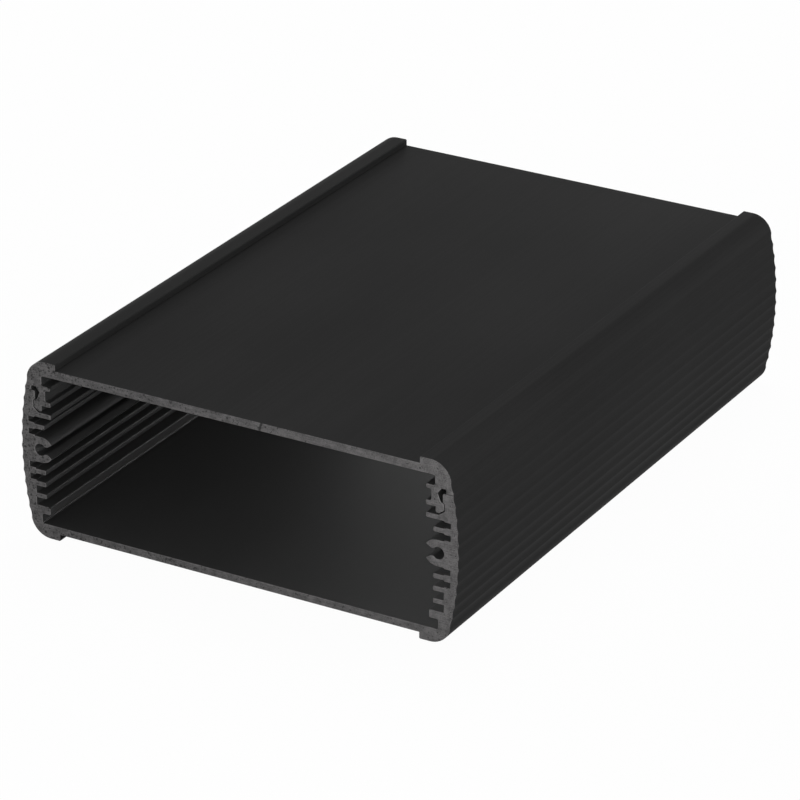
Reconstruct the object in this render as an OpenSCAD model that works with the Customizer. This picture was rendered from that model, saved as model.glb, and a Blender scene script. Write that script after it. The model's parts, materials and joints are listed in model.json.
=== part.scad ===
/* [Envelope] */
// Length of both extrusions
body_l = 150; // [20:1:400]
// Overall height, over the four corner ridges
body_h = 41.6; // [41:0.1:46]
// Radius of each bowed side
side_r = 75; // [65:1:120]
// Radius of the four outer corners
corner_r = 4.9; // [4.4:0.1:5.4]
// Width of each corner ridge, in to the recess from the widest point of the side
ridge_w = 9.2; // [8.5:0.1:14]
// Depth of the recess in the top and in the bottom
recess_d = 1.5; // [0.5:0.1:2]
// Thickness of the flat top and bottom panels
panel_t = 1.85; // [1.4:0.05:2.2]
// Radius on the inner edge of each ridge
edge_r = 0.3; // [0.1:0.05:0.4]
// Radius in the inner corners of the section
cove_r = 0.4; // [0.1:0.05:0.5]

/* [Side flutes] */
// Number of flutes down each bowed side
flute_n = 12; // [8:1:16]
// Depth of a flute below its crests
flute_d = 0.2; // [0.1:0.05:0.3]
// Width of the crest left between two flutes
crest_w = 0.3; // [0.2:0.05:0.6]

/* [Board guides] */
// Width of the circuit board that the guide slots hold
board_w = 100; // [60:1:160]
// Thickness of the board
board_t = 1.6; // [1.2:0.1:1.8]
// Clearance across the thickness of the board in its slot
board_fit = 0.1; // [0.05:0.05:0.2]
// Clearance at each edge of the board
board_edge_fit = 0.05; // [0.05:0.05:0.3]
// Thickness of a guide rib
rib_t = 1.15; // [0.9:0.05:1.25]
// Length of a guide rib
rib_len = 2.55; // [1.8:0.05:3]
// Length of the long ribs on each side of the seam slot
long_rib_len = 4.3; // [3.5:0.1:5]
// Radius on the tip of each rib
tip_r = 0.3; // [0.1:0.05:0.4]
// Depth of the relief behind the slots next to the screw channel
relief_d = 1.5; // [0.5:0.1:2]
// How much narrower the relief is than its slot, on each side
relief_step = 0.25; // [0.1:0.05:0.4]
// Thickness of the wall behind the reliefs, at mid-height
relief_wall_t = 1.95; // [1.5:0.05:3]

/* [Screw channels] */
// Radius of each screw channel
channel_r = 1.35; // [1.2:0.05:1.5]
// Thickness of the wall around a screw channel
channel_t = 1.7; // [1.4:0.05:1.8]
// How far the jaws of a channel are struck in from its middle
jaw_in = 0.3; // [0:0.05:0.5]
// Width of the mouth that runs along each channel
mouth_w = 1.7; // [1.2:0.05:1.75]
// Distance from the middle of the channel to the end of the straight mouth
mouth_len = 1.75; // [1.6:0.05:2]
// Angle at which each side of the mouth flares
mouth_flare = 34; // [20:1:45]

/* [Bottom hook] */
// Thickness of the hooked lip above the floor groove
hook_t = 1.9; // [1.4:0.1:2.2]
// Length of the hooked lip, from the foot of the guide slots
hook_len = 3.45; // [2.5:0.05:4]
// Distance from the foot of the guide slots in to the floor groove
groove_in = 1.3; // [1:0.05:2]

/* [Snap seam] */
// Height of the tongue above the long rib
tongue_h = 5; // [4.8:0.1:5.4]
// Radius on the inner edge of the tongue
tongue_r = 0.45; // [0.2:0.05:0.6]
// Clearance between the barb and the tongue
snap_fit = 0.1; // [0.05:0.05:0.2]
// How far the barb reaches under the head of the tongue
catch_w = 0.4; // [0.2:0.05:0.5]
// Gap between the foot of the leg and the long rib
foot_gap = 0.35; // [0.2:0.05:0.5]
// Gap between the lead-in of the leg and the ramp of the tongue
ramp_gap = 0.25; // [0.15:0.05:0.4]
// Thickness of the leg at its foot
foot_t = 2.05; // [1.7:0.05:2.3]
// Radius on the inner edge of the foot
foot_r = 0.35; // [0.1:0.05:0.4]
// Width of the lead-in under the barb
lead_w = 1.15; // [0.9:0.05:1.3]
// Height of the lead-in under the barb
lead_h = 0.85; // [0.6:0.05:1]
// Height of the barb's straight face
barb_h = 1.4; // [1:0.1:1.6]
// Width of the slope on top of the barb
barb_w = 0.85; // [0.7:0.05:1]
// Height of the slope on top of the barb
barb_rise = 0.45; // [0.3:0.05:0.6]
// Height of the leg's waist above the barb
waist_h = 1.75; // [1.4:0.05:1.9]
// Thickness of the leg at its waist
waist_t = 1.5; // [1.2:0.05:1.7]
// Height of the pocket over the tongue
pocket_h = 1; // [0.6:0.1:1.2]
// Width of the pocket's flat roof
roof_w = 1.1; // [0.9:0.05:1.3]
// Radius in the outer corner of the pocket's roof
roof_r = 0.3; // [0.1:0.05:0.4]
// Distance from the barb's face out to the skirt
skirt_out = 0.45; // [0.3:0.05:0.6]

/* [Upper guides] */
// Distance from the foot of the guide slots in to the face of the leg
leg_in = 3.05; // [2.9:0.05:3.4]
// Thickness of the upper lip
lip_t = 1; // [0.8:0.05:1.2]
// Width of the slot between the upper lip and the long rib
lip_slot = 2.6; // [2:0.1:2.8]
// Distance from the foot of the guide slots in to the face above the upper lip
shoulder_in = 2.2; // [1.8:0.05:2.8]

/* [Hidden] */
$fn = 128;
over = 1;     // how far a cut runs past the face it opens
blend = 0.01; // how far a corner arc stands proud where it meets the bowed side

// The section is drawn with x across and y up from mid-height.
half_h = body_h / 2;
slot_foot = board_w / 2 + board_edge_fit;
slot_w = board_t + board_fit;
pitch = slot_w + rib_t;
half_w = slot_foot + relief_d + relief_wall_t;
recess_x = half_w - ridge_w;
recess_y = half_h - recess_d;
ceiling = recess_y - panel_t;

// Each corner arc is tangent to the bowed side.
bow_x = half_w - side_r;
corner_y = half_h - corner_r;
bow_angle = asin(corner_y / (side_r - corner_r));
corner_x = bow_x + (side_r - corner_r) * cos(bow_angle) + blend;
bow_y = side_r * sin(bow_angle);

// A flute sinks flute_d under the chord between its two crests.
flute_turn = 2 * bow_angle / flute_n;
half_chord = side_r * sin(flute_turn / 2) - crest_w / 2;
flute_r = (pow(half_chord, 2) + pow(flute_d, 2)) / (2 * flute_d);
flute_x = sqrt(pow(side_r, 2) - pow(half_chord, 2)) + flute_r - flute_d;

// Slots and ribs step away from the screw channel at mid-height.
channel_or = channel_r + channel_t;
channel_x = slot_foot - channel_r;
rib_x = slot_foot - rib_len;
long_rib_x = slot_foot - long_rib_len;
ledge_y = channel_or + 2 * pitch;
hook_y = -channel_or - 3 * pitch - slot_w;

// Lower side of the seam.
seam_y = ledge_y + tongue_h;
recess_wall = slot_foot + snap_fit;
tongue_x = slot_foot - catch_w;

// Upper side of the seam.
leg_x = slot_foot - leg_in;
foot_x = slot_foot - foot_t;
foot_y = ledge_y + foot_gap;
barb_y = foot_y + lead_h;
barb_top = barb_y + barb_h;
skirt_x = slot_foot + skirt_out;
roof_y = seam_y + pocket_h;
lead_slope = lead_h / lead_w;
barb_slope = barb_rise / barb_w;
guide_y = ledge_y + slot_w;
lip_y = guide_y + rib_t + lip_slot;

// Rectangle between two opposite corners.
module block(x0, y0, x1, y1) {
    translate([min(x0, x1), y0]) square([abs(x1 - x0), y1 - y0]);
}

// Rectangle from a square root to a tip with two rounded corners, to either side.
module tab(root, y0, tip, y1, r) {
    round_x = tip - sign(tip - root) * r;
    block(root, y0, round_x, y1);
    block(root, y0 + r, tip, y1 - r);
    for (y = [y0 + r, y1 - r]) translate([round_x, y]) circle(r);
}

// Flat-topped ridge with its outer corner arc, in one quadrant.
module ridge() {
    intersection() {
        translate([corner_x, corner_y]) circle(corner_r);
        block(corner_x, 0, half_w, half_h);
    }
    translate([recess_x + edge_r, half_h - edge_r]) circle(edge_r);
    block(recess_x + edge_r, 0, corner_x, half_h);
    block(recess_x, 0, corner_x, half_h - edge_r);
}

module flutes() {
    for (i = [0 : flute_n - 1])
        translate([bow_x, 0])
            rotate(-bow_angle + (i + 0.5) * flute_turn)
                translate([flute_x, 0]) circle(flute_r);
}

// Outer shape of the closed enclosure, in its right half.
module outline() {
    difference() {
        union() {
            block(-over, -recess_y, corner_x, recess_y);
            intersection() {
                translate([bow_x, 0]) circle(side_r);
                block(0, -bow_y, half_w + over, bow_y);
            }
            ridge();
            mirror([0, 1]) ridge();
        }
        flutes();
    }
}

// C-shaped channel for a thread-forming screw, open along its inner side.
module screw_channel() {
    jaw_end = -channel_or - jaw_in;
    flare_y = mouth_w / 2 - (jaw_end + mouth_len) * tan(mouth_flare);
    translate([channel_x, 0])
        difference() {
            union() {
                translate([-jaw_in, 0]) circle(channel_or);
                block(-jaw_in, -channel_or, channel_r + over, channel_or);
            }
            circle(channel_r);
            polygon([
                [0, -mouth_w / 2], [-mouth_len, -mouth_w / 2], [jaw_end, -flare_y],
                [jaw_end, flare_y], [-mouth_len, mouth_w / 2], [0, mouth_w / 2]
            ]);
        }
}

// Short ribs, the long rib under the seam, and the hooked lip.
module lower_ribs() {
    root = slot_foot + relief_d / 2;
    for (y = [channel_or + slot_w, -channel_or - pitch, -channel_or - 2 * pitch, -channel_or - 3 * pitch])
        tab(root, y, rib_x, y + rib_t, tip_r);
    tab(root, ledge_y - rib_t, long_rib_x, ledge_y, tip_r);
    tab(root, hook_y - hook_t, slot_foot - hook_len, hook_y, tip_r);
}

module reliefs() {
    for (i = [0, 1])
        for (s = [-1, 1])
            translate([slot_foot, s * (channel_or + slot_w / 2 + i * pitch)])
                translate([-over, relief_step - slot_w / 2])
                    square([relief_d + over, slot_w - 2 * relief_step]);
}

// Everything that is cut from the lower half of the outline.
module lower_space() {
    ramp_y = foot_y + lead_slope * (lead_w + snap_fit) - ramp_gap;
    ramp_x = recess_wall - (ramp_y - ledge_y) / lead_slope;
    head_y = barb_top + snap_fit;
    tab(-over, -ceiling, slot_foot - groove_in, hook_y - hook_t, cove_r);
    block(-over, hook_y - hook_t, slot_foot, ledge_y);
    polygon([
        [-over, ledge_y], [ramp_x, ledge_y], [recess_wall, ramp_y],
        [recess_wall, head_y - barb_slope * snap_fit], [tongue_x, head_y + barb_slope * catch_w],
        [tongue_x, seam_y - tongue_r], [tongue_x + tongue_r, seam_y],
        [tongue_x + tongue_r, seam_y + over], [-over, seam_y + over]
    ]);
}

module lower_half() {
    difference() {
        union() {
            difference() {
                intersection() {
                    outline();
                    block(-over, -half_h - over, half_w + over, seam_y);
                }
                lower_space();
            }
            lower_ribs();
            screw_channel();
            translate([tongue_x + tongue_r, seam_y - tongue_r]) circle(tongue_r);
        }
        reliefs();
    }
}

// Pocket that takes the tongue. Its inner side is the back of the leg.
module pocket() {
    polygon([
        [slot_foot, barb_top], [slot_foot - barb_w, barb_top + barb_rise],
        [leg_x + waist_t, barb_top + barb_rise + waist_h], [skirt_x - roof_w, roof_y],
        [skirt_x - roof_r, roof_y], [skirt_x, roof_y - roof_r], [skirt_x, barb_top]
    ]);
    translate([skirt_x - roof_r, roof_y - roof_r]) circle(roof_r);
}

// Leg with its foot, lead-in and barb, and the two lips on its inner face.
module leg() {
    difference() {
        union() {
            polygon([
                [leg_x - cove_r, lip_y], [leg_x - cove_r, guide_y + rib_t], [leg_x, guide_y],
                [foot_x, guide_y], [foot_x, foot_y + foot_r], [foot_x + foot_r, foot_y],
                [slot_foot - lead_w, foot_y], [slot_foot, barb_y], [slot_foot, lip_y + lip_t],
                [leg_x, lip_y + lip_t]
            ]);
            translate([foot_x + foot_r, foot_y + foot_r]) circle(foot_r);
            tab(leg_x + tip_r, guide_y, long_rib_x, guide_y + rib_t, tip_r);
            tab(leg_x + tip_r, lip_y, long_rib_x, lip_y + lip_t, tip_r);
        }
        tab(long_rib_x - over, guide_y + rib_t, leg_x, lip_y, cove_r);
        pocket();
    }
}

module upper_half() {
    difference() {
        intersection() {
            outline();
            block(-over, seam_y, half_w + over, half_h + over);
        }
        tab(-over, lip_y + lip_t, slot_foot - shoulder_in, ceiling, cove_r);
        block(-over, seam_y - over, leg_x, lip_y + lip_t);
        pocket();
    }
    leg();
}

// Extrusion along Y of a right half and its mirror image, standing on the base of the enclosure.
module extrusion() {
    translate([0, 0, half_h])
        rotate([90, 0, 0])
            linear_extrude(body_l, center = true) {
                children();
                mirror([1, 0]) children();
            }
}

module lower_shell() {
    color("#2c2c2e") extrusion() lower_half();
}

module upper_shell() {
    color("#303032") extrusion() upper_half();
}

lower_shell();
upper_shell();
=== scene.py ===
import json
import math

import bmesh
import bpy
from mathutils import Matrix, Vector

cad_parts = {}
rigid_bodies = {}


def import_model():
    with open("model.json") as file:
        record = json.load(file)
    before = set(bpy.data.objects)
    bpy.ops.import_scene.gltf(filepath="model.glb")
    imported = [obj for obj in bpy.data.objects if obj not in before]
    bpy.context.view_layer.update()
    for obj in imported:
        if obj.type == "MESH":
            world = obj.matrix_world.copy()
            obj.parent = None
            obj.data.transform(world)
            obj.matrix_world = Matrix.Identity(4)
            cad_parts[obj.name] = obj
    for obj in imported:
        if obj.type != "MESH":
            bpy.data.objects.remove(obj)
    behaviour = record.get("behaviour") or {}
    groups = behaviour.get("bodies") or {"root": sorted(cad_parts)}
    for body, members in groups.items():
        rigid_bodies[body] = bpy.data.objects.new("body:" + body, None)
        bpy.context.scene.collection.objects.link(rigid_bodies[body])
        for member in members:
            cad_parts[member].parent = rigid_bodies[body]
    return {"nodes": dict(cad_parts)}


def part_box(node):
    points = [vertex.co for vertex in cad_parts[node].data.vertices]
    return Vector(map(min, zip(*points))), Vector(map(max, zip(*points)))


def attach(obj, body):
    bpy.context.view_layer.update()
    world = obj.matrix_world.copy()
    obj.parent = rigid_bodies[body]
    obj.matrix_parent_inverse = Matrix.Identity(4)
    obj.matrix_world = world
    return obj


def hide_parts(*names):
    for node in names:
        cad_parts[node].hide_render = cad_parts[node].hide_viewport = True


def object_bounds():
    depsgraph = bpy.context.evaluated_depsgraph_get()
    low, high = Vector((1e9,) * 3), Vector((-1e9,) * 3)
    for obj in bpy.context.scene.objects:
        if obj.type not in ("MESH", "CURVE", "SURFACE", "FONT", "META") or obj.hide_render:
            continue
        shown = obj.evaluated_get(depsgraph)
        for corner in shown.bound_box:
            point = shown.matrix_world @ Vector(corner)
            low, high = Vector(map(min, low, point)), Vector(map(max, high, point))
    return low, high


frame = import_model()
cad_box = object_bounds()

# The objects of Blender's own start-up scene, where it has them.
for leftover in {"Cube", "Light", "Camera"} & set(bpy.data.objects.keys()):
    bpy.data.objects.remove(bpy.data.objects[leftover])


# ---- Lower extrusion -------------------------------------------------------------------
# The floor of the enclosure and its two side walls: one length of aluminium pushed through a
# die that also shapes the board slots and screw channels. Its skin is anodised black, and both
# ends are sawn square, with the burr taken back to a fine chamfer.


class Value:
    """What one socket of a node tree gives; arithmetic on it adds Math nodes."""

    def __init__(self, bench, socket):
        self.bench = bench
        self.socket = socket

    def math(self, operation, *numbers):
        return self.bench.node("ShaderNodeMath", {"operation": operation}, dict(enumerate(numbers)))

    def other(self, output):
        """Another output of the same node."""
        return Value(self.bench, self.socket.node.outputs[output])

    def __add__(self, number):
        return self.math("ADD", self, number)

    def __radd__(self, number):
        return self.math("ADD", number, self)

    def __sub__(self, number):
        return self.math("SUBTRACT", self, number)

    def __rsub__(self, number):
        return self.math("SUBTRACT", number, self)

    def __mul__(self, number):
        return self.math("MULTIPLY", self, number)

    def __rmul__(self, number):
        return self.math("MULTIPLY", number, self)

    def __rtruediv__(self, number):
        return self.math("DIVIDE", number, self)

    def __abs__(self):
        return self.math("ABSOLUTE", self)

    def __gt__(self, number):
        return self.math("GREATER_THAN", self, number)

    def __lt__(self, number):
        return self.math("LESS_THAN", self, number)

    def between(self, low, high):
        """0 below low, 1 above high, and a soft step from one to the other."""
        return self.bench.node(
            "ShaderNodeMapRange",
            {"interpolation_type": "SMOOTHSTEP"},
            {"Value": self, "From Min": low, "From Max": high},
        )


class Bench:
    """Lays out one node tree, in which every node comes from node()."""

    def __init__(self, tree):
        self.tree = tree

    def node(self, kind, settings=None, sockets=None, output=0):
        """Add a node; a socket takes a plain value, a Value, or a list of Values to join."""
        made = self.tree.nodes.new(kind)
        for name, setting in (settings or {}).items():
            setattr(made, name, setting)
        for key, given in (sockets or {}).items():
            for value in given if isinstance(given, list) else [given]:
                if isinstance(value, Value):
                    self.tree.links.new(value.socket, made.inputs[key])
                else:
                    made.inputs[key].default_value = value
        return Value(self, made.outputs[output]) if len(made.outputs) else made


def new_finish(name):
    """A new material with an empty tree, and the bench to lay it out on."""
    material = bpy.data.materials.new(name)
    material.use_nodes = True
    material.node_tree.nodes.clear()
    return material, Bench(material.node_tree)


def stretched_noise(bench, spacing, detail=2.0):
    """Noise whose grains are spacing metres long along X, Y and Z."""
    place = bench.node("ShaderNodeTexCoord", output="Object")
    scale = tuple(1 / length for length in spacing)
    scaled = bench.node("ShaderNodeMapping", None, {"Vector": place, "Scale": scale})
    return bench.node("ShaderNodeTexNoise", None, {"Vector": scaled, "Scale": 1.0, "Detail": detail})


def shade(bench, factor, dark, light):
    """A colour between a dark tone and a light one."""
    return bench.node(
        "ShaderNodeMix",
        {"data_type": "RGBA"},
        {0: factor, 6: (*dark, 1), 7: (*light, 1)},
        output=2,
    )


def black_anodising(name, tone, roughness, specular):
    """Black anodised skin: die lines along the length, a fine grain and a broad mottle."""
    line_width, line_length = 0.0006, 0.25
    grain_size = 0.00022
    mottle_width, mottle_length = 0.03, 0.06
    darkest_depth, lightest_depth = 0.35, 0.65
    tone_swing = 0.15
    roughness_swing = 0.08
    line_strength, line_depth = 0.35, 0.00002

    material, bench = new_finish(name)
    die_lines = stretched_noise(bench, (line_width, line_length, line_width), detail=3.0)
    grain = stretched_noise(bench, (grain_size, grain_size, grain_size))
    mottle = stretched_noise(bench, (mottle_width, mottle_length, mottle_width))
    depth = 0.3 * mottle + 0.4 * die_lines + 0.3 * grain
    dark = ((1 - tone_swing) * tone,) * 3
    light = ((1 + tone_swing) * tone,) * 3
    colour = shade(bench, depth.between(darkest_depth, lightest_depth), dark, light)
    relief = 0.7 * die_lines + 0.3 * grain
    bump = bench.node(
        "ShaderNodeBump", None, {"Height": relief, "Strength": line_strength, "Distance": line_depth}
    )
    shader = bench.node(
        "ShaderNodeBsdfPrincipled",
        None,
        {
            "Base Color": colour,
            "Roughness": roughness - roughness_swing + 2 * roughness_swing * relief,
            "Specular IOR Level": specular,
            "Normal": bump,
        },
    )
    bench.node("ShaderNodeOutputMaterial", None, {"Surface": shader})
    return material


def sawn_aluminium(name, dark, light, metal, roughness, pit_share):
    """Dull cut aluminium: saw scratches across it, fine grain, dark pits and one nick.

    The cut is clean towards +X and more pitted towards -X, and its colour is painted darker towards -X as
    painted shade.
    """
    scratch_length, scratch_width = 0.004, 0.00015
    grain_size = 0.0003
    patch_size = 0.0012
    pit_spread = 0.0008
    darkest_texture, lightest_texture = 0.35, 0.65
    # Towards the -X side the pits crowd and painted shade darkens the colour.
    pitted_shaded_side = cad_box[0][0] - 0.0015
    clean_unshaded_side = cad_box[1][0] - 0.0035
    painted_shade_on_pitted_side = 0.02
    pit_sizes = (0.0006, 0.0010)
    pit_from, pit_to, clean_saving = 0.62, 0.66, 0.8
    pit_core, pit_rim, clean_shrink = 0.20, 0.38, 0.04
    pit_wander = 0.0004
    mark_cover, mark_black = 0.9, (0.01, 0.01, 0.01, 1)
    nick_place, nick_half_width, nick_slant, nick_wander = -0.0048, 0.00027, 0.3, 0.0008
    nick_foot = cad_box[1][2] - 0.0036
    roughness_swing = 0.08
    cut_strength, cut_depth = 0.4, 0.00004

    material, bench = new_finish(name)
    place = bench.node("ShaderNodeTexCoord", output="Object")
    scratches = stretched_noise(bench, (scratch_length, scratch_length, scratch_width), detail=3.0)
    grain = stretched_noise(bench, (grain_size, grain_size, grain_size), detail=3.0)
    patches = stretched_noise(bench, (patch_size, patch_size, patch_size))
    spread = stretched_noise(bench, (pit_spread, pit_spread, pit_spread), detail=1.0)
    across = bench.node("ShaderNodeSeparateXYZ", None, {"Vector": place}, "X")
    height = across.other("Z")
    clean_unshaded_cut = across.between(pitted_shaded_side, clean_unshaded_side)

    def holes(size):
        """Round holes in a field of cells that are size metres wide, with uneven rims."""
        wander = bench.node(
            "ShaderNodeVectorMath",
            {"operation": "MULTIPLY_ADD"},
            {
                0: stretched_noise(bench, (pit_wander, pit_wander, pit_wander)).other("Color"),
                1: (pit_wander, pit_wander, pit_wander),
                2: place,
            },
        )
        cells = bench.node("ShaderNodeTexVoronoi", None, {"Vector": wander, "Scale": 1 / size})
        shrink = clean_shrink * clean_unshaded_cut
        return 1 - cells.between(pit_core - shrink, pit_rim - shrink)

    small_holes, large_holes = [holes(size) for size in pit_sizes]
    share = pit_share * (1 - clean_saving * clean_unshaded_cut)
    pitted = spread.between(pit_from - share, pit_to - share)
    pits = pitted * small_holes.math("MAXIMUM", small_holes, large_holes)
    nick_line = across - nick_slant * height + nick_wander * grain
    nick = (abs(nick_line - nick_place) < nick_half_width) * (height > nick_foot)
    marks = pits.math("MAXIMUM", pits, nick)

    # Towards -X the colour is painted darker: painted shade, not a property of the cut.
    texture = 0.35 * grain + 0.3 * scratches + 0.35 * patches - painted_shade_on_pitted_side * (1 - clean_unshaded_cut)
    tone = shade(bench, texture.between(darkest_texture, lightest_texture), dark, light)
    colour = bench.node(
        "ShaderNodeMix", {"data_type": "RGBA"}, {0: mark_cover * marks, 6: tone, 7: mark_black}, output=2
    )
    bump = bench.node(
        "ShaderNodeBump",
        None,
        {"Height": texture - marks, "Strength": cut_strength, "Distance": cut_depth},
    )
    shader = bench.node(
        "ShaderNodeBsdfPrincipled",
        None,
        {
            "Base Color": colour,
            "Roughness": roughness - roughness_swing + 2 * roughness_swing * grain,
            "Metallic": metal,
            "Specular IOR Level": 0.3,
            "Normal": bump,
        },
    )
    bench.node("ShaderNodeOutputMaterial", None, {"Surface": shader})
    return material


def sawn_length_tree():
    """Geometry Nodes: a flat section that faces +Y becomes a deburred length ending at its plane."""
    sharpest_mitre = 0.25
    weld_distance = 1e-7
    side_skin_reach = 0.001
    recess_skin_reach = 0.0024
    least_cut_slope, flat_end_slope = 0.3, 0.9

    tree = bpy.data.node_groups.new("sawn_length", "GeometryNodeTree")
    for name, kind in (
        ("Section", "NodeSocketGeometry"),
        ("Length", "NodeSocketFloat"),
        ("Deburr", "NodeSocketFloat"),
        ("Crease Angle", "NodeSocketFloat"),
        ("Half Width", "NodeSocketFloat"),
        ("Middle Height", "NodeSocketFloat"),
        ("Side Radius", "NodeSocketFloat"),
        ("Outer Skin", "NodeSocketMaterial"),
        ("Inner Skin", "NodeSocketMaterial"),
        ("Sawn Face", "NodeSocketMaterial"),
        ("Scraped Edge Painted Highlight", "NodeSocketMaterial"),
    ):
        tree.interface.new_socket(name=name, in_out="INPUT", socket_type=kind)
    tree.interface.new_socket(name="Geometry", in_out="OUTPUT", socket_type="NodeSocketGeometry")
    bench = Bench(tree)
    given = bench.node("NodeGroupInput")
    section, length, deburr = given.other("Section"), given.other("Length"), given.other("Deburr")

    # The outward mitre of each outline point, read from the side walls of a trial length.
    drawing_way = bench.node("FunctionNodeInputVector", {"vector": (0, 1, 0)})

    def drawn_out(geometry, reach, selection=True):
        return bench.node(
            "GeometryNodeExtrudeMesh",
            None,
            {
                "Mesh": geometry,
                "Selection": selection,
                "Offset": drawing_way,
                "Offset Scale": reach,
                "Individual": False,
            },
        )

    trial = drawn_out(section, length)
    walls = bench.node(
        "GeometryNodeSeparateGeometry",
        {"domain": "FACE"},
        {"Geometry": trial, "Selection": trial.other("Side")},
    )
    normal = bench.node("GeometryNodeInputNormal")
    face_normal = bench.node(
        "GeometryNodeFieldOnDomain", {"data_type": "FLOAT_VECTOR", "domain": "FACE"}, {0: normal}
    )
    nearest = bench.node("GeometryNodeSampleNearest", {"domain": "POINT"}, {"Geometry": walls})
    mean = bench.node(
        "GeometryNodeSampleIndex",
        {"data_type": "FLOAT_VECTOR", "domain": "POINT"},
        {"Geometry": walls, "Value": face_normal, "Index": nearest},
    )
    squared = bench.node(
        "ShaderNodeVectorMath", {"operation": "DOT_PRODUCT"}, {0: mean, 1: mean}, "Value"
    )
    mitre = bench.node(
        "ShaderNodeVectorMath",
        {"operation": "SCALE"},
        {0: mean, "Scale": 1 / squared.math("MAXIMUM", squared, sharpest_mitre)},
    )
    marked = bench.node(
        "GeometryNodeStoreNamedAttribute",
        {"data_type": "FLOAT_VECTOR", "domain": "POINT"},
        {"Geometry": section, "Name": "mitre", "Value": mitre},
    )
    kept_mitre = bench.node(
        "GeometryNodeInputNamedAttribute", {"data_type": "FLOAT_VECTOR"}, {"Name": "mitre"}
    )

    def widened(geometry, width, selection=True):
        offset = bench.node(
            "ShaderNodeVectorMath", {"operation": "SCALE"}, {0: kept_mitre, "Scale": width}
        )
        return bench.node(
            "GeometryNodeSetPosition",
            None,
            {"Geometry": geometry, "Selection": selection, "Offset": offset},
        )

    # The near end, its chamfer, the plain length and the chamfer of the far end.
    back = bench.node("ShaderNodeCombineXYZ", None, {"Y": 0 - length})
    near_end = bench.node("GeometryNodeSetPosition", None, {"Geometry": marked, "Offset": back})
    near_end = widened(near_end, 0 - deburr)
    rim = drawn_out(near_end, deburr)
    rim_top = rim.other("Top")
    rim = widened(rim, deburr, rim_top)
    run = drawn_out(rim, length - 2 * deburr, rim_top)
    far_end = drawn_out(run, deburr, run.other("Top"))
    body = widened(far_end, 0 - deburr, far_end.other("Top"))
    near_cap = bench.node("GeometryNodeFlipFaces", None, {"Mesh": near_end})
    joined = bench.node("GeometryNodeJoinGeometry", None, {"Geometry": [body, near_cap]})
    welded = bench.node(
        "GeometryNodeMergeByDistance", None, {"Geometry": joined, "Distance": weld_distance}
    )
    plain = bench.node("GeometryNodeRemoveAttribute", None, {"Geometry": welded, "Name": "mitre"})

    # Smooth over the arcs, sharp where the section turns a corner.
    soft = bench.node("GeometryNodeSetShadeSmooth", {"domain": "FACE"}, {"Geometry": plain})
    turn = bench.node("GeometryNodeInputMeshEdgeAngle")
    creased = bench.node(
        "GeometryNodeSetShadeSmooth",
        {"domain": "EDGE"},
        {"Geometry": soft, "Selection": turn > given.other("Crease Angle"), "Shade Smooth": False},
    )
    real = bench.node("GeometryNodeRealizeInstances", None, {"Geometry": creased})

    # The outer skin all over, then the inner skin, painted lighter as painted light, the two cut ends and
    # the inner scraped edges, lighter still as a painted highlight.
    place = bench.node("ShaderNodeSeparateXYZ", None, {"Vector": bench.node("GeometryNodeInputPosition")})
    radius, middle_height = given.other("Side Radius"), given.other("Middle Height")
    rise = abs(place.other("Z") - middle_height)
    bow = radius - place.math("SQRT", radius * radius - rise * rise)
    side_depth = given.other("Half Width") - bow - abs(place.other("X"))
    inside = (side_depth > side_skin_reach) * (middle_height - rise > recess_skin_reach)
    along = abs(bench.node("ShaderNodeSeparateXYZ", None, {"Vector": normal}, "Y"))
    cut = along > least_cut_slope
    skinned = real
    for finish, selection in (
        ("Outer Skin", True),
        ("Inner Skin", inside),
        ("Sawn Face", cut),
        ("Scraped Edge Painted Highlight", cut * (along < flat_end_slope) * inside),
    ):
        skinned = bench.node(
            "GeometryNodeSetMaterial",
            None,
            {"Geometry": skinned, "Selection": selection, "Material": given.other(finish)},
        )
    bench.node("NodeGroupOutput", None, {"Geometry": skinned})
    return tree


def sawn_section(node):
    """The flat far end of a CAD shell, merged from its loose triangles."""
    weld_distance, plane_tolerance = 1e-7, 1e-6
    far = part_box(node)[1].y
    form = bmesh.new()
    form.from_mesh(frame["nodes"][node].data)
    bmesh.ops.remove_doubles(form, verts=form.verts, dist=weld_distance)
    off_plane = [v for v in form.verts if v.co.y < far - plane_tolerance]
    bmesh.ops.delete(form, geom=off_plane, context="VERTS")
    form.verts.index_update()
    points = [tuple(v.co) for v in form.verts]
    faces = [[v.index for v in f.verts] for f in form.faces]
    form.free()
    mesh = bpy.data.meshes.new(node + "_section")
    mesh.from_pydata(points, [], faces)
    return mesh


sawn_face = sawn_aluminium(
    "sawn_end_face",
    dark=(0.060, 0.058, 0.0585),
    light=(0.146, 0.141, 0.142),
    metal=0.25,
    roughness=0.55,
    pit_share=0.20,
)
# Bare metal on the inner chamfers: a scraped edge, set lighter than the cut face as a painted highlight.
scraped_edge_painted_highlight = sawn_aluminium(
    "scraped_edge_painted_highlight",
    dark=(0.13, 0.127, 0.128),
    light=(0.20, 0.195, 0.196),
    metal=0.5,
    roughness=0.45,
    pit_share=0.08,
)
# One bath gives both faces the same anodising. Their sheens are set apart here, the outer far
# below real anodising and the inner above it, only to suit the lamps of this studio. The inner
# tone is also painted lighter than the outer one: painted light, not a different dye.
inner_skin_painted_lighter = black_anodising("black_anodising_inside_painted_lighter", tone=0.0265, roughness=0.57, specular=0.78)
lower_skin = black_anodising("black_anodising_lower", tone=0.0182, roughness=0.58, specular=0.014)
sawn_length = sawn_length_tree()
length_inputs = {
    "Deburr": 0.00015,
    "Crease Angle": math.radians(50),
    "Half Width": cad_box[1][0],
    "Middle Height": cad_box[1][2] / 2,
    "Side Radius": 0.075,
    "Inner Skin": inner_skin_painted_lighter,
    "Sawn Face": sawn_face,
    "Scraped Edge Painted Highlight": scraped_edge_painted_highlight,
}


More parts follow.
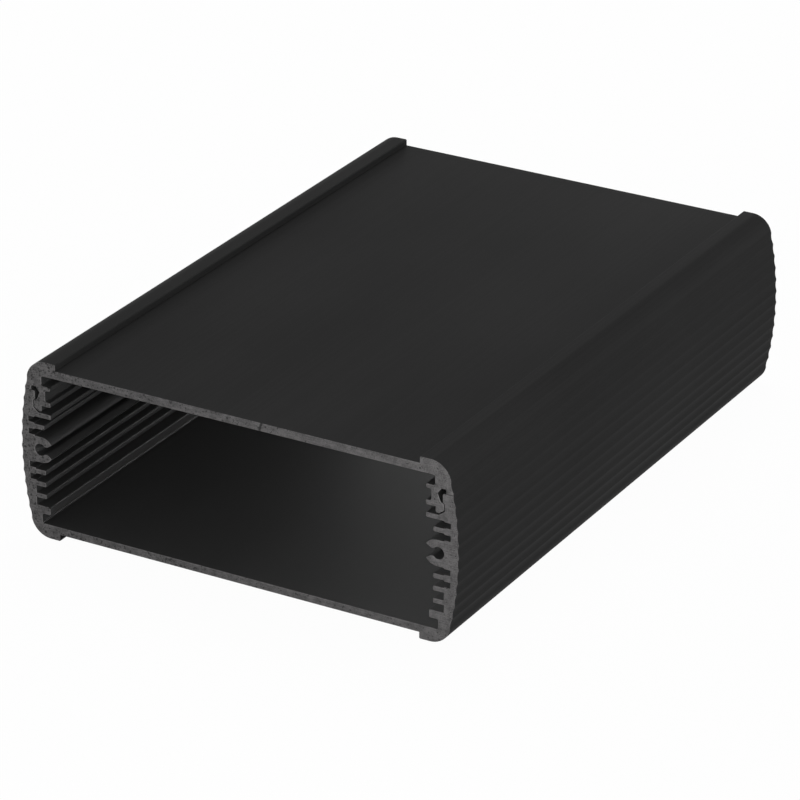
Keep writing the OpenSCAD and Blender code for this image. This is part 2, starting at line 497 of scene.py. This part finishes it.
def shell_piece(name, node, outer_skin):
    """A shell drawn out from its own section, with its normals weighted to the wide flats."""
    low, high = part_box(node)
    piece = bpy.data.objects.new(name, sawn_section(node))
    bpy.context.scene.collection.objects.link(piece)
    draw = piece.modifiers.new("draw", "NODES")
    draw.node_group = sawn_length
    inputs = {**length_inputs, "Length": high.y - low.y, "Outer Skin": outer_skin}
    for item in sawn_length.interface.items_tree:
        if item.name in inputs:
            draw[item.identifier] = inputs[item.name]
    weighted = piece.modifiers.new("weighted", "WEIGHTED_NORMAL")
    weighted.weight = 100
    weighted.keep_sharp = True
    view = bpy.context.evaluated_depsgraph_get()
    mesh = bpy.data.meshes.new_from_object(piece.evaluated_get(view), depsgraph=view)
    piece.modifiers.clear()
    piece.data = mesh
    mesh.name = name
    return piece


lower = shell_piece("lower_extrusion", "lower_shell", lower_skin)
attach(lower, "base")
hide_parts("lower_shell")


# ---- Upper extrusion -------------------------------------------------------------------
# The lid of the enclosure: a second, shallower aluminium extrusion from its own die, anodised
# and sawn like the lower one. Its legs spring over the tongues on the lower walls and hook
# under their heads.

upper_skin = black_anodising("black_anodising_upper", tone=0.0184, roughness=0.58, specular=0.014)
upper = shell_piece("upper_extrusion", "upper_shell", upper_skin)
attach(upper, "cover")
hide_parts("upper_shell")


# ---- Studio ----------------------------------------------------------------------------
# The enclosure stands on a white table, and its reflections see a room that is white at the
# sides and dim overhead. One lamp hangs high above it, low ones stand in front, behind and at
# both sides, and a long lens looks down past the near corner.


def background_rays(bench):
    """1 for what is seen directly, in a reflection or through something, and 0 for its light."""
    seen = bench.node("ShaderNodeLightPath", output="Is Camera Ray")
    shown = seen.math("MAXIMUM", seen, seen.other("Is Glossy Ray"))
    return shown.math("MAXIMUM", shown, seen.other("Is Transmission Ray"))


def table_top():
    """White laminate that shows white and keeps a faint shadow."""
    laminate_dark, laminate_light = (0.60, 0.60, 0.60), (0.64, 0.64, 0.64)
    blotch_size = 0.02
    white_share = 0.975

    material, bench = new_finish("table_top")
    blotches = stretched_noise(bench, (blotch_size, blotch_size, blotch_size))
    colour = shade(bench, blotches, laminate_dark, laminate_light)
    lit = bench.node(
        "ShaderNodeBsdfPrincipled",
        None,
        {"Base Color": colour, "Roughness": 0.9, "Specular IOR Level": 0.1},
    )
    white = bench.node("ShaderNodeEmission", None, {"Color": (1, 1, 1, 1), "Strength": 1.0})
    mixed = bench.node(
        "ShaderNodeMixShader", None, {0: white_share * background_rays(bench), 1: lit, 2: white}
    )
    bench.node("ShaderNodeOutputMaterial", None, {"Surface": mixed})
    return material


low, high = cad_box
table_half = 4.0
table_drop = 0.0002
table_corners = [
    (x * table_half, y * table_half, low[2] - table_drop) for x, y in ((-1, -1), (1, -1), (1, 1), (-1, 1))
]
table_mesh = bpy.data.meshes.new("table")
table_mesh.from_pydata(table_corners, [], [(0, 1, 2, 3)])
table_mesh.materials.append(table_top())
table = bpy.data.objects.new("table", table_mesh)
bpy.context.scene.collection.objects.link(table)

world = bpy.data.worlds.new("white_room")
world.use_nodes = True
world.node_tree.nodes.clear()
room = Bench(world.node_tree)
room_light = 0.25
white_below, dim_above = 0.3, 0.7
direction = room.node("ShaderNodeTexCoord")
overhead = room.node("ShaderNodeSeparateXYZ", None, {"Vector": direction}, "Z")
walls = 1 - overhead.between(white_below, dim_above)
seen_walls = walls.math("MAXIMUM", walls, room.node("ShaderNodeLightPath", output="Is Camera Ray"))
background = room.node(
    "ShaderNodeBackground",
    None,
    {
        "Color": (1, 1, 1, 1),
        "Strength": room_light + (1 - room_light) * background_rays(room) * seen_walls,
    },
)
room.node("ShaderNodeOutputWorld", None, {"Surface": background})
bpy.context.scene.world = world

middle = Vector([(a + b) / 2 for a, b in zip(low, high)])


def soft_lamp(name, place, width, height, power):
    """A soft box aimed at the middle of the enclosure; place is measured from there."""
    lamp = bpy.data.lights.new(name, "AREA")
    lamp.shape = "RECTANGLE"
    lamp.size = width
    lamp.size_y = height
    lamp.energy = power
    lamp_object = bpy.data.objects.new(name, lamp)
    lamp_object.location = middle + Vector(place)
    lamp_object.rotation_euler = (-Vector(place)).to_track_quat("-Z", "Y").to_euler()
    bpy.context.scene.collection.objects.link(lamp_object)


soft_lamp("key_lamp", place=(-0.15, 0.25, 0.88), width=0.6, height=0.6, power=5.0)
soft_lamp("front_lamp", place=(0.09, -0.24, 0.05), width=0.15, height=0.15, power=0.17)
soft_lamp("back_lamp", place=(0.03, 1.00, 0.11), width=1.15, height=0.22, power=3.7)
soft_lamp("side_lamp", place=(0.90, 0.45, 0.12), width=0.5, height=0.2, power=4.3)
soft_lamp("left_lamp", place=(-0.90, 0.20, 0.20), width=0.5, height=0.3, power=2.4)

azimuth = math.radians(29.77)
elevation = math.radians(24.92)
tilt = math.radians(0.125)
distance = 0.98104
aside = -0.00277
above = -0.00643
focal_length = 199.04
back = Vector(
    (
        math.sin(azimuth) * math.cos(elevation),
        -math.cos(azimuth) * math.cos(elevation),
        math.sin(elevation),
    )
)
level = Vector((math.cos(azimuth), math.sin(azimuth), 0))
upright = back.cross(level)
right = level * math.cos(tilt) + upright * math.sin(tilt)
up = upright * math.cos(tilt) - level * math.sin(tilt)
eye = middle + distance * back + aside * right + above * up
lens = bpy.data.cameras.new("camera")
lens.sensor_width = 36
lens.lens = focal_length
camera = bpy.data.objects.new("camera", lens)
camera.matrix_world = Matrix.Translation(eye) @ Matrix((right, up, back)).transposed().to_4x4()
bpy.context.scene.collection.objects.link(camera)
bpy.context.scene.camera = camera
bpy.context.scene.view_settings.view_transform = "Standard"
